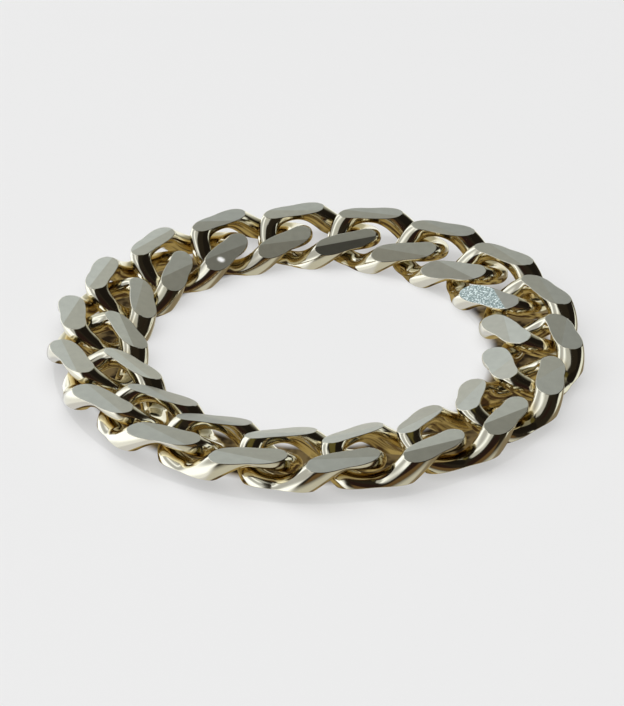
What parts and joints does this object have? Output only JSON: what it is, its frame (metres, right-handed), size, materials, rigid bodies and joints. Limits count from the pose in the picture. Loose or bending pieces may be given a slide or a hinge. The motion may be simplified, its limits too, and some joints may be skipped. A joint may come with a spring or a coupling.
{
  "type": "chain link ring",
  "caption": "Closed ring of interlocking twisted curb links with satin, slightly sloping lapped flats above and below, lying on its side; worn round a finger.",
  "frame": {"origin": "centre of the ring, on the surface that its lower inner flats rest on", "axes": "+Z is the ring's axis, up from the resting flats; +Y runs to the middle of link_01, and the links are numbered clockwise seen from +Z; +X is to the right of +Y seen from +Z"},
  "size_m": [0.0266, 0.0268, 0.0018],
  "materials": {
    "pale_metal": "polished wire with satin lapped flats"
  },
  "bodies": {
    "root": {"link_01": "pale_metal", "link_02": "pale_metal", "link_03": "pale_metal", "link_04": "pale_metal", "link_05": "pale_metal", "link_06": "pale_metal", "link_07": "pale_metal", "link_08": "pale_metal", "link_09": "pale_metal", "link_10": "pale_metal", "link_11": "pale_metal", "link_12": "pale_metal", "link_13": "pale_metal", "link_14": "pale_metal", "link_15": "pale_metal", "link_16": "pale_metal", "link_17": "pale_metal", "link_18": "pale_metal"}
  },
  "joints": []
}
